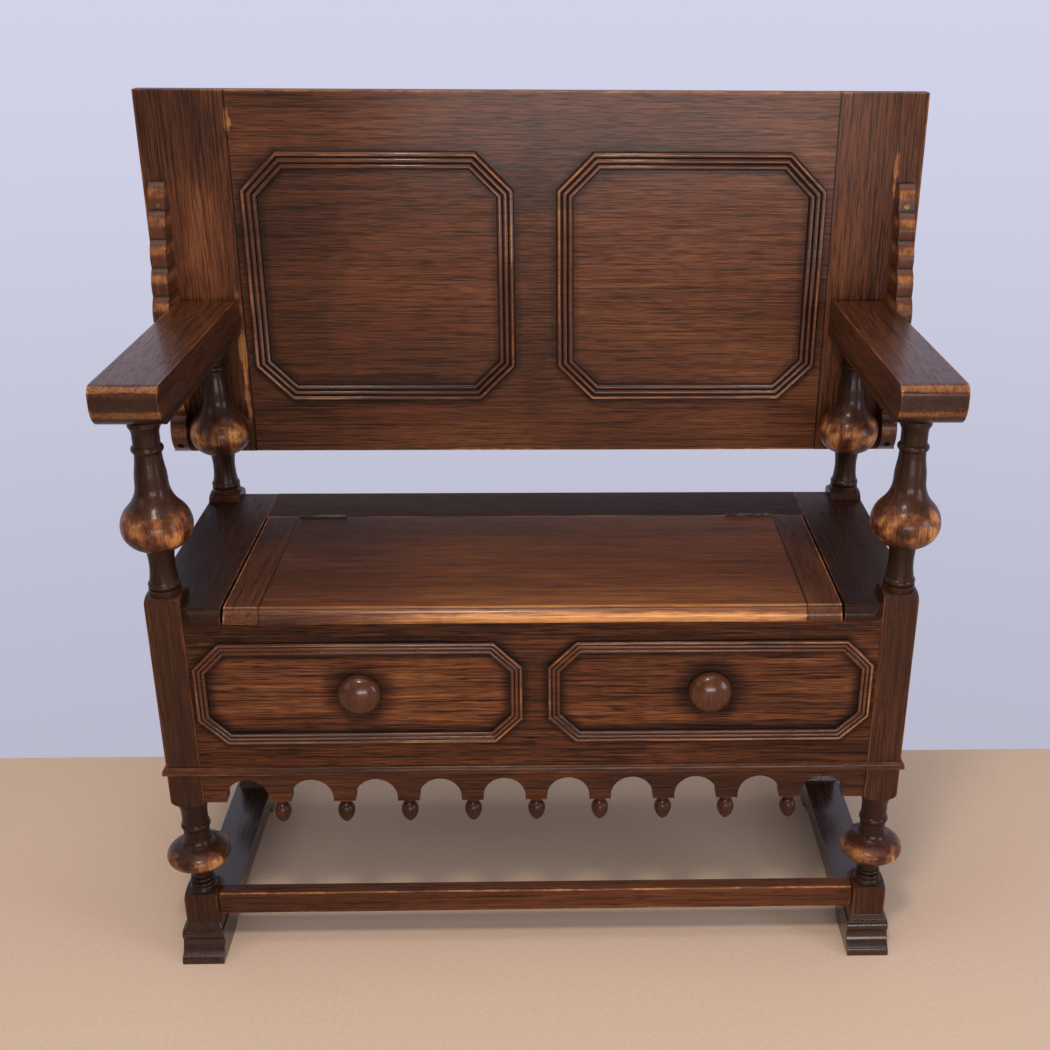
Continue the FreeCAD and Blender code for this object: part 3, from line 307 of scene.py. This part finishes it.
def rubbed(box, wear=1.0):
    """The arrises of a box, where hands have rubbed the stain away in places."""
    low, high = box

    def layer(finish):
        sides = []
        for place, near, far in zip(finish.axes(), low, high):
            sides.append((far - near) / 2 - abs(place - (near + far) / 2))
        first, second, third = sides
        edge = first.least(second).most(first.most(second).least(third))
        ragged = edge + (finish.noise((90, 90, 90), detail=3.0) - 0.5) * 0.004
        patchiness = finish.noise((14, 14, 14), detail=2.0).step(0.36, 0.58)
        return ragged.step(0.0030, 0.0004) * (0.10 + 0.30 * patchiness) * wear
    return layer


def octagon_reach(finish, kind):
    """How far a point lies outside an octagon moulding or its twin, less than 0 inside."""
    low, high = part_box(f"{kind}_octagon_right")
    corner, _ = OCTAGONS[kind]
    across, _, up = finish.axes()
    wide = abs(abs(across) - (low[0] + high[0]) / 2) - (high[0] - low[0]) / 2
    tall = abs(up - (low[2] + high[2]) / 2) - (high[2] - low[2]) / 2
    slant = (wide + tall + corner) * math.sqrt(0.5)
    return wide.most(tall).most(slant)


def shade_beside_octagon(kind, strength, spread, middle=0.0):
    """Painted shade against the octagon mouldings and the tone of the fields inside, on their face alone.
    """
    _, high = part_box(f"{kind}_octagon_right")
    face = high[1]
    _, width = OCTAGONS[kind]

    def layer(finish):
        _, deep, _ = finish.axes()
        reach = octagon_reach(finish, kind)
        off = abs(reach + width / 2) - width / 2
        # painted shade in a strip beside the moulding; the fields inside lighter by middle
        marks = reach.step(-width, -width - spread * 1.6) * middle - off.step(spread, 0.0) * strength
        return marks * deep.step(face + 0.004, face + 0.002)
    return layer


def spot(centre, radii, strength, ragged=0.5):
    """A soft or ragged patch about a point, as wide each way as its radii."""
    def layer(finish):
        parts = []
        for place, middle, radius in zip(finish.axes(), centre, radii):
            if radius is not None:
                parts.append(((place - middle) / radius) ** 2.0)
        reach = sum(parts[1:], parts[0]) ** 0.5
        ends = finish.noise((30, 30, 30), detail=4.0)
        return (reach + (ends - 0.5) * 2.4 * ragged).step(1.0, 0.45) * strength
    return layer


def band(axis, low, high, strength, soft):
    """A strip across the piece between two heights, depths or widths."""
    def layer(finish):
        place = finish.axes()["xyz".index(axis)]
        off = abs(place - (low + high) / 2) - (high - low) / 2
        return off.step(soft, 0.0) * strength
    return layer


def turned(middle, golden, neck):
    """A turning: mottled gold on its bulbs, darker in its necks."""
    def layer(finish):
        across, deep, _ = finish.axes()
        reach = ((across - middle[0]) ** 2.0 + (deep - middle[1]) ** 2.0) ** 0.5
        mottle = finish.noise((45, 45, 45), detail=4.0).step(0.34, 0.66)
        return reach.step(0.029, 0.040) * golden * mottle - reach.step(0.024, 0.015) * neck
    return layer


def ribs(kind, crest):
    """A ribbed octagon moulding: painted shade in the valleys, painted highlights on the crests, the
    outer rib lightest and partly worn.
    """
    low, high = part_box(f"{kind}_octagon_right")
    _, width = OCTAGONS[kind]

    def layer(finish):
        _, deep, _ = finish.axes()
        rise = (high[1] - deep) / (high[1] - low[1])
        outer = octagon_reach(finish, kind).step(-0.40 * width, -0.28 * width)
        patchiness = finish.noise((16, 16, 16), detail=3.0).step(0.36, 0.60)
        light = (0.25 + 0.75 * patchiness) * (0.30 + 0.70 * outer) * crest
        # painted highlight on the crests, with wear on the outer rib; painted shade in the valleys
        return rise.step(0.95, 1.0) * light - rise.step(0.94, 0.72) * 0.26
    return layer


def lobe_highlight_and_shade(node, crest=0.34):
    """A lobed front edge: a painted gold highlight on the upper half of each lobe, painted shade at the
    cusps between.
    """
    _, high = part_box(node)

    def layer(finish):
        _, _, up = finish.axes()
        share = ((high[2] - up - LOBES_FROM_TOP) / LOBE_PITCH).fraction()
        patchiness = finish.noise((60, 60, 60), detail=3.0).step(0.30, 0.62)
        # painted highlight on the upper half of each lobe, painted shade at the cusps
        gold = share.step(0.12, 0.30) * share.step(0.62, 0.42) * (0.35 + 0.65 * patchiness) * crest
        return gold - abs(share - 0.5).step(0.40, 0.50) * 0.22
    return layer


def select_only(piece):
    bpy.ops.object.select_all(action="DESELECT")
    piece.select_set(True)
    bpy.context.view_layer.objects.active = piece


def settle(piece, node, finish):
    """Gives a piece its material and body, and lets it stand for its CAD node."""
    piece.data.materials.clear()
    piece.data.materials.append(finish)
    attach(piece, BODY_OF[node])
    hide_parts(node)


def worn(node, finish, width=None, segments=2):
    """The node's own shape with its arrises worn round."""
    piece = bpy.data.objects.new(f"{node}_worn", NODES[node].data.copy())
    bpy.context.collection.objects.link(piece)
    select_only(piece)
    bpy.ops.object.mode_set(mode="EDIT")
    bpy.ops.mesh.select_all(action="SELECT")
    bpy.ops.mesh.remove_doubles(threshold=0.00002)
    bpy.ops.mesh.dissolve_limited(angle_limit=math.radians(0.6))
    bpy.ops.mesh.normals_make_consistent(inside=False)
    bpy.ops.object.mode_set(mode="OBJECT")
    if piece.data.has_custom_normals:
        bpy.ops.mesh.customdata_custom_splitnormals_clear()
    bpy.ops.object.shade_smooth_by_angle(angle=math.radians(38))
    bevel = piece.modifiers.new("worn_arris", "BEVEL")
    bevel.width = looks().arris if width is None else width
    bevel.segments = segments
    bevel.limit_method = "ANGLE"
    bevel.angle_limit = math.radians(32)
    bevel.harden_normals = True
    bpy.ops.object.modifier_apply(modifier=bevel.name)
    settle(piece, node, finish)


def kept(node, finish):
    """A CAD node that stays as it is and only takes its finish."""
    piece = NODES[node]
    piece.data.materials.clear()
    piece.data.materials.append(finish)


def node_box(*nodes):
    boxes = [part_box(node) for node in nodes]
    low = tuple(min(box[0][axis] for box in boxes) for axis in range(3))
    high = tuple(max(box[1][axis] for box in boxes) for axis in range(3))
    return low, high


class SETTLE_OT_feet(bpy.types.Operator):
    """Two sledge feet and the two stretchers between the posts"""
    bl_idname = "settle.feet"
    bl_label = "Feet and stretchers"

    def execute(self, context):
        for index, side in enumerate(BOTH):
            node = f"foot_{side}"
            worn(node, oak(node, "y", 3 + index, 0.21, 1.3, layers=[rubbed(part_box(node), 0.6)]), 0.0018)
        for index, end in enumerate(("front", "rear")):
            node = f"stretcher_{end}"
            worn(node, oak(node, "x", 7 + index, 0.43, 0.5, layers=[rubbed(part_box(node), 1.0)]), 0.0022)
        return {"FINISHED"}


class SETTLE_OT_posts(bpy.types.Operator):
    """Four turned posts"""
    bl_idname = "settle.posts"
    bl_label = "Posts"

    def execute(self, context):
        for index, (end, side) in enumerate((end, side) for end in ("front", "rear") for side in BOTH):
            node = f"{end}_post_{side}"
            low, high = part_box(node)
            middle = ((low[0] + high[0]) / 2, (low[1] + high[1]) / 2)
            block = (
                (middle[0] - POST_HALF, middle[1] - POST_HALF, low[2]),
                (middle[0] + POST_HALF, middle[1] + POST_HALF, high[2]),
            )
            layers = [rubbed(block, 0.5), turned(middle, 0.46, 0.16)]
            worn(node, oak(node, "z", 11 + index, 0.27, 0.62, 0.8, layers), 0.0012)
        return {"FINISHED"}


class SETTLE_OT_arms(bpy.types.Operator):
    """Two flat arms with rounded noses"""
    bl_idname = "settle.arms"
    bl_label = "Arms"

    def execute(self, context):
        for index, side in enumerate(BOTH):
            node = f"arm_{side}"
            low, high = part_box(node)
            front = (None, 0.012, 0.006)
            layers = [
                rubbed((low, high), 0.6),
                spot((0, low[1], low[2] + 0.017), front, 0.26, 0.6),
                # painted highlight: a gold line along the top front edge of the nose
                spot((0, low[1] + 0.004, high[2] - 0.004), (None, 0.012, 0.005), 0.30, 0.5),
                spot((0, low[1], low[2] + 0.032), (None, 0.008, 0.010), -0.14, 0.2),
                # painted shade: the underside of the arm darker
                band("z", low[2] - 0.01, low[2] + 0.008, -0.16, 0.006),
            ]
            worn(node, oak(node, "y", 17 + index, 0.39, 0.9, 1.1, layers), 0.0022, 3)
        return {"FINISHED"}


class SETTLE_OT_box(bpy.types.Operator):
    """The storage box under the seat"""
    bl_idname = "settle.box"
    bl_label = "Box"

    def execute(self, context):
        _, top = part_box("box_front")
        _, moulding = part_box("front_octagon_right")
        layers = [
            # painted shade against the front octagons
            shade_beside_octagon("front", strength=0.16, spread=0.011, middle=0.11),
            # painted shade: the top strip of the box front, under the lid's nose, darker
            band("z", top[2] - 0.022, top[2], -0.07, 0.010),
        ]
        for side in BOTH:
            low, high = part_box(f"knob_{side}")
            centre = ((low[0] + high[0]) / 2, moulding[1], (low[2] + high[2]) / 2)
            layers.append(spot(centre, (0.055, 0.012, 0.055), -0.30, 0.1))
        worn("box_front", oak("box_front", "x", 21, 0.385, 0.25, 1.7, layers), 0.0008)
        for index, node in enumerate(("box_back", "box_end_left", "box_end_right", "box_bottom")):
            along = "y" if "end" in node else "x"
            finish = oak(node, along, 23 + index, 0.41, 0.35, layers=[rubbed(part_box(node), 0.4)])
            worn(node, finish, 0.0010)
        for index, node in enumerate(("batten_front", "batten_rear")):
            worn(node, oak(node, "x", 29 + index, 0.32, 0.2, layers=[rubbed(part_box(node), 0.4)]))
        return {"FINISHED"}


class SETTLE_OT_mouldings(bpy.types.Operator):
    """Ribbed octagon mouldings and the small moulding round the box's foot"""
    bl_idname = "settle.mouldings"
    bl_label = "Mouldings"

    def execute(self, context):
        for kind, seed, crest in (("front", 31, 0.46), ("back", 35, 0.36)):
            for index, side in enumerate(BOTH):
                node = f"{kind}_octagon_{side}"
                finish = oak(node, "x", seed + index, 0.34, 1.0, 0.7, [ribs(kind, crest)])
                worn(node, finish, 0.0004, 1)
        for index, word in enumerate(("front",) + BOTH):
            node = f"base_moulding_{word}"
            along = "x" if word == "front" else "y"
            finish = oak(node, along, 38 + index, 0.33, 0.6, layers=[rubbed(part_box(node), 0.5)])
            worn(node, finish, 0.0007)
        return {"FINISHED"}


class SETTLE_OT_apron(bpy.types.Operator):
    """The arched apron, its turned drops and the two knobs"""
    bl_idname = "settle.apron"
    bl_label = "Apron, drops and knobs"

    def execute(self, context):
        layers = [rubbed(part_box("apron"), 0.3)]
        worn("apron", oak("apron", "x", 41, 0.355, 0.4, layers=layers), 0.0010)
        kept("apron_drops", oak("apron_drops", "z", 42, 0.27, 0.6, 0.6))
        for index, side in enumerate(BOTH):
            kept(f"knob_{side}", oak(f"knob_{side}", "z", 43 + index, 0.34, 1.0, 0.5))
        return {"FINISHED"}


class SETTLE_OT_seat(bpy.types.Operator):
    """The fixed seat boards and the lid"""
    bl_idname = "settle.seat"
    bl_label = "Seat and lid"

    def execute(self, context):
        lid = node_box("lid_field", "lid_cleat_left", "lid_cleat_right")
        low, high = lid
        # the lid's nose lighter: worn bare, with a painted highlight along its lower edge
        nosing = spot((0.09, low[1], low[2] + 0.008), (0.37, 0.007, 0.010), 0.34, 0.35)
        # painted highlight along the edge of the step; a darker line at its foot
        step = [
            band("y", low[1] + 0.0084, low[1] + 0.0096, 0.34, 0.0008),
            band("y", low[1] + 0.0066, low[1] + 0.0082, -0.30, 0.0006),
        ]
        _, field_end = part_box("lid_field")
        seam = field_end[0]
        seams_and_tone_bands = [band("x", edge - 0.0007, edge + 0.0007, -0.26, 0.0008) for edge in (-seam, seam)]
        # darker towards the left end and the rear, lighter towards the front
        seams_and_tone_bands.append(band("x", low[0], -0.30, -0.14, 0.22))
        seams_and_tone_bands.append(band("y", 0.03, high[1], -0.10, 0.08))
        seams_and_tone_bands.append(band("y", low[1], low[1] + 0.03, 0.09, 0.05))
        seats = (
            ("lid_field", "x", 0.49),
            ("lid_cleat_left", "y", 0.44),
            ("lid_cleat_right", "y", 0.36),
        )
        for index, (node, along, tone) in enumerate(seats):
            layers = [rubbed(lid, 1.1)] + step + seams_and_tone_bands
            if node == "lid_field":
                layers.append(nosing)
            worn(node, oak(node, along, 47 + index, tone, 0.8, 0.9, layers), 0.0006)
        for index, node in enumerate(("seat_end_left", "seat_end_right", "seat_rear_rail")):
            along = "x" if "rail" in node else "y"
            gloss = 0.1 if "rail" in node else 0.4
            layers = [rubbed(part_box(node), 0.9)]
            worn(node, oak(node, along, 51 + index, 0.14, gloss, 0.8, layers), 0.0009)
        return {"FINISHED"}


class SETTLE_OT_back(bpy.types.Operator):
    """The back that tips forward to make a table"""
    bl_idname = "settle.back"
    bl_label = "Back"

    def execute(self, context):
        whole = node_box("back_board_upper", "back_board_lower", "back_cleat_left", "back_cleat_right")
        low, high = whole
        _, board_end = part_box("back_board_upper")
        seam = board_end[0]
        shared = [
            rubbed(whole, 0.8),
            band("x", -seam - 0.0008, -seam + 0.0008, -0.22, 0.0010),
            band("x", seam - 0.0008, seam + 0.0008, -0.22, 0.0010),
            spot((-0.419, low[1], 0.705), (0.006, 0.010, 0.085), 0.34, 1.4),
            spot((-0.4125, low[1], 1.057), (0.006, 0.010, 0.024), 0.32, 1.2),
            spot((0.497, low[1], 0.985), (0.006, 0.010, 0.034), 0.32, 1.4),
            # painted shade and light: darker at the top left, across the left field and at its foot,
            # lighter across the right field, as light falls from the right; the lighter strip at x -0.46
            # is the cleat's own colour
            spot((-0.49, 0, 1.04), (0.10, None, 0.10), -0.12, 0.3),
            spot((-0.46, 0, 0.86), (0.035, None, 0.14), 0.09, 0.5),
            spot((-0.34, 0, 0.88), (0.10, None, 0.20), -0.09, 0.3),
            spot((-0.36, 0, 0.62), (0.16, None, 0.05), -0.08, 0.3),
            spot((0.28, 0, 0.80), (0.20, None, 0.12), 0.06, 0.3),
            spot((0, 0, 0.84), (0.05, None, 0.25), -0.10, 0.2),
        ]
        for node in ("back_board_upper", "back_board_lower"):
            # painted shade against the back octagons
            layers = shared + [shade_beside_octagon("back", strength=0.13, spread=0.012)]
            worn(node, oak(node, "x", 57, 0.44, 0.5, 1.05, layers), 0.0008)
        for index, side in enumerate(BOTH):
            node = f"back_cleat_{side}"
            worn(node, oak(node, "z", 61 + index, 0.425, 0.4, 1.05, shared), 0.0008)
            node = f"bearer_{side}"
            worn(node, oak(node, "z", 65 + index, 0.40, 1.0, 0.6, [lobe_highlight_and_shade(node)]), 0.0007)
            node = f"pivot_peg_{side}"
            kept(node, oak(node, "x", 67 + index, 0.42, 0.5))
        return {"FINISHED"}


def metal(name, bright, polish):
    """Aged metal, tarnished in patches."""
    finish = Finish(bpy.data.materials.new(name))
    tarnish = finish.noise((110, 110, 110), detail=4.0)
    dull = tuple(part * 0.35 for part in bright)
    colour = finish.mix(tarnish.step(0.35, 0.62), (*dull, 1), (*bright, 1))
    inputs = {"Base Color": colour, "Metallic": 0.9, "Roughness": 0.85 - polish - tarnish * 0.3}
    return finish.surface(inputs, tarnish, 0.0001)


class SETTLE_OT_fittings(bpy.types.Operator):
    """Iron hinges, their screws and the bearers' brass screws"""
    bl_idname = "settle.fittings"
    bl_label = "Hinges and screws"

    def execute(self, context):
        iron = metal("iron", tuple(looks().iron), 0.2)
        for side in BOTH:
            for part in ("leaf_rail", "leaf_lid", "pin"):
                kept(f"hinge_{part}_{side}", iron)
        for node in ("hinge_screws_rail", "hinge_screws_lid"):
            kept(node, iron)
        kept("bearer_screws", metal("brass", tuple(looks().brass), 0.3))
        return {"FINISHED"}


def softbox(name, place, aim, size, power, colour=(1, 1, 1)):
    light = bpy.data.lights.new(name, "AREA")
    light.shape = "RECTANGLE"
    light.size, light.size_y = size
    light.energy = power
    light.color = colour
    lamp = bpy.data.objects.new(name, light)
    bpy.context.collection.objects.link(lamp)
    lamp.location = place
    lamp.rotation_euler = (Vector(aim) - Vector(place)).to_track_quat("-Z", "Y").to_euler()


def studio():
    """Pale behind and above, a dim room in front, plain soft light on the bench."""
    look = looks()
    world = bpy.data.worlds.new("studio")
    bpy.context.scene.world = world
    sky = Finish(world, "ShaderNodeOutputWorld", "Generated")
    _, deep, up = sky.axes()
    wall = sky.mix(up.step(-0.60, 0.05), (*blended(look.wall, (0, 0, 0), 0.27), 1), (*look.wall, 1))
    pale = (deep.step(-0.20, 0.35)).most(up.step(0.55, 0.95) * 0.75)
    room = sky.mix(pale, (0.085, 0.075, 0.075, 1), wall)
    path = sky.node("ShaderNodeLightPath").outputs
    shown = sky.mix(path["Is Camera Ray"], room, wall)
    seen = Term(sky, path["Is Camera Ray"]).most(Term(sky, path["Is Glossy Ray"]))
    lit = sky.node("ShaderNodeBackground", None, {"Color": (0.93, 0.96, 1.0, 1), "Strength": 0.50})
    backdrop = sky.node("ShaderNodeBackground", None, {"Color": shown, "Strength": 1.0})
    inputs = {0: seen, 1: lit.outputs[0], 2: backdrop.outputs[0]}
    sky.tree.links.new(sky.node("ShaderNodeMixShader", None, inputs).outputs[0], sky.out.inputs[0])


class SETTLE_OT_stage(bpy.types.Operator):
    """Floor, background, lamps and camera"""
    bl_idname = "settle.stage"
    bl_label = "Floor, light and camera"

    def execute(self, context):
        look = looks()
        bpy.ops.object.select_all(action="DESELECT")
        bpy.ops.mesh.primitive_plane_add(size=1.0, location=FLOOR_MIDDLE)
        floor = context.object
        floor.name = "floor"
        bpy.ops.object.mode_set(mode="EDIT")
        bpy.ops.transform.resize(value=FLOOR_SIZE, center_override=FLOOR_MIDDLE)
        bpy.ops.object.mode_set(mode="OBJECT")
        finish = Finish(bpy.data.materials.new("floor"))
        pile = finish.noise((160, 160, 160), detail=3.0)
        hollow = (*blended(look.floor, (0, 0, 0), 0.05), 1)
        colour = finish.mix(pile.step(0.3, 0.7), hollow, (*look.floor, 1))
        floor.data.materials.append(finish.surface({"Base Color": colour, "Roughness": 0.95}))

        studio()
        softbox("front", (0.3, -2.9, 0.78), (0, 0, 0.62), (1.7, 0.5), 42.0)
        softbox("high", (-0.25, -1.5, 2.6), (0, 0, 0.55), (0.40, 0.30), 34.0, (1.0, 0.90, 0.74))
        softbox("window", (2.6, -1.5, 0.95), (0, 0, 0.6), (0.9, 1.1), 30.0, (0.80, 0.82, 1.0))
        softbox("fill", (-2.4, -1.6, 1.6), (0, 0, 0.5), (1.2, 1.2), 7.0)
        softbox("top", (0.0, -0.4, 3.3), (0, 0, 0.5), (2.4, 1.2), 26.0)

        data = bpy.data.cameras.new("camera")
        data.sensor_width = SENSOR
        data.lens = look.lens
        data.shift_x, data.shift_y = CAMERA_SHIFT
        camera = bpy.data.objects.new("camera", data)
        context.collection.objects.link(camera)
        yaw = math.radians(CAMERA_YAW)
        down = math.radians(CAMERA_DOWN)
        roll = math.radians(CAMERA_ROLL)
        reach = math.cos(down)
        ahead = Vector((math.sin(yaw) * reach, math.cos(yaw) * reach, -math.sin(down)))
        level = Vector((math.cos(yaw), -math.sin(yaw), 0))
        up = level.cross(ahead)
        right = math.cos(roll) * level + math.sin(roll) * up
        upward = -math.sin(roll) * level + math.cos(roll) * up
        turn = Matrix((right, upward, -ahead)).transposed().to_4x4()
        camera.matrix_world = Matrix.Translation(CAMERA_PLACE) @ turn
        context.scene.camera = camera
        context.scene.view_settings.view_transform = "Standard"
        return {"FINISHED"}


class SETTLE_PT_panel(bpy.types.Panel):
    """Lists the bench's pieces in the sidebar"""
    bl_idname = "SETTLE_PT_panel"
    bl_label = "Oak Settle Bench"
    bl_space_type = "VIEW_3D"
    bl_region_type = "UI"
    bl_category = "Settle"

    def draw(self, context):
        look = context.scene.settle_looks
        for name in look.bl_rna.properties.keys():
            if name not in ("rna_type", "name"):
                self.layout.prop(look, name)
        for operator in OPERATORS:
            self.layout.operator(operator.bl_idname)


OPERATORS = (
    SETTLE_OT_stage,
    SETTLE_OT_feet,
    SETTLE_OT_posts,
    SETTLE_OT_arms,
    SETTLE_OT_box,
    SETTLE_OT_mouldings,
    SETTLE_OT_apron,
    SETTLE_OT_seat,
    SETTLE_OT_back,
    SETTLE_OT_fittings,
)
CLASSES = (SettleLooks,) + OPERATORS + (SETTLE_PT_panel,)


def register():
    for item in CLASSES:
        bpy.utils.register_class(item)
    bpy.types.Scene.settle_looks = bpy.props.PointerProperty(type=SettleLooks)


def unregister():
    del bpy.types.Scene.settle_looks
    for item in reversed(CLASSES):
        bpy.utils.unregister_class(item)


def main():
    register()
    for operator in OPERATORS:
        group, name = operator.bl_idname.split(".")
        getattr(getattr(bpy.ops, group), name)()


if __name__ == "__main__":
    main()
